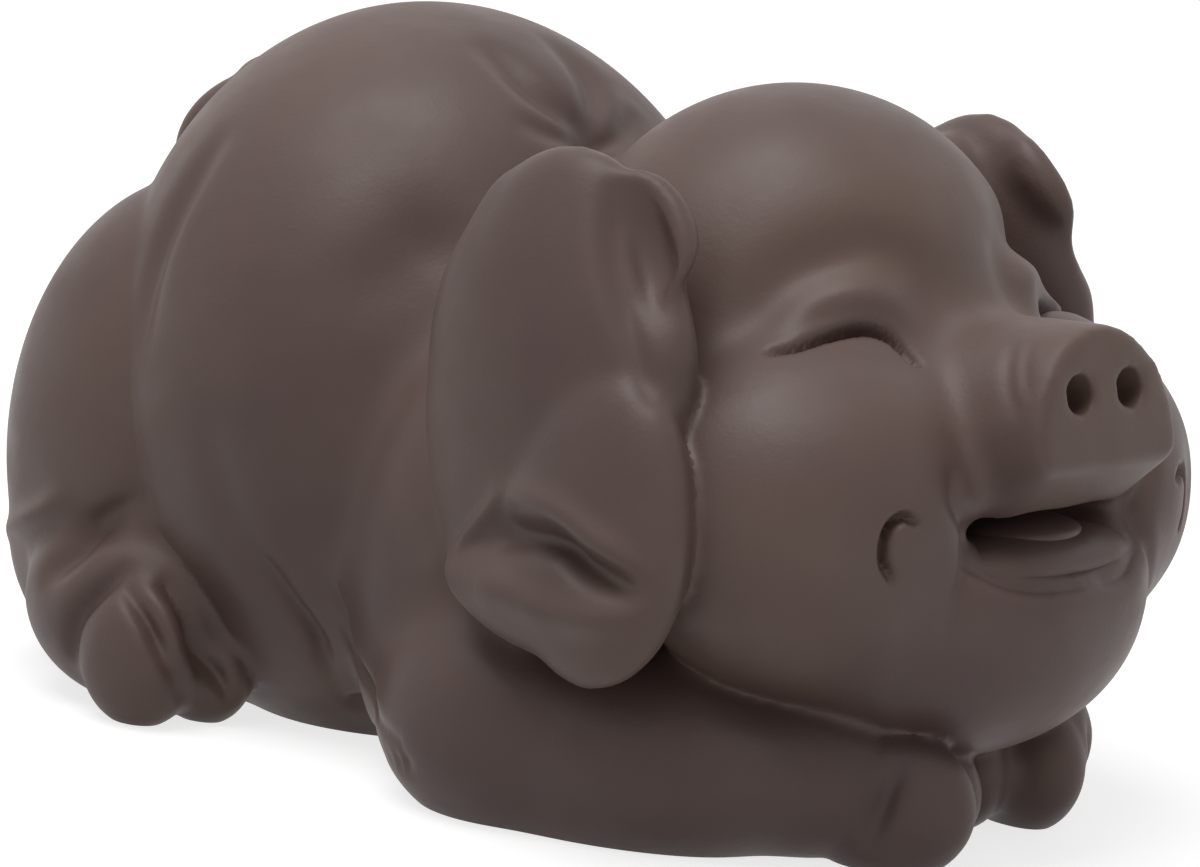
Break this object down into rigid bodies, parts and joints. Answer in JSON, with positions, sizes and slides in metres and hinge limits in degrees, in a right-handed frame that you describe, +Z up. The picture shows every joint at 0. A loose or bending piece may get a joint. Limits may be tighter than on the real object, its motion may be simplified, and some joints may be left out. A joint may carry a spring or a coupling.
{
  "type": "pig figurine",
  "caption": "Lying pig figurine of unglazed purple-brown stoneware, hollow, with hanging ears, raised snout, open mouth and its head resting on folded forelegs.",
  "frame": {"origin": "on the flat underside, on the pig's middle plane, between shoulders and belly", "axes": "+Z up from the surface it lies on, -Y the way the pig faces, +X the pig's left side"},
  "size_m": [0.065, 0.0965, 0.0559],
  "materials": {
    "purple_clay": "unglazed, burnished satin, fine sandy grit"
  },
  "bodies": {
    "root": {"torso_shell": "purple_clay", "base_slab": "purple_clay", "head_shell": "purple_clay", "snout": "purple_clay", "lower_lip": "purple_clay", "tongue": "purple_clay", "tail": "purple_clay", "right_ear": "purple_clay", "right_foreleg": "purple_clay", "right_fore_trotter": "purple_clay", "right_haunch": "purple_clay", "right_shank": "purple_clay", "right_hind_trotter": "purple_clay", "left_ear": "purple_clay", "left_foreleg": "purple_clay", "left_fore_trotter": "purple_clay", "left_haunch": "purple_clay", "left_shank": "purple_clay", "left_hind_trotter": "purple_clay"}
  },
  "joints": []
}
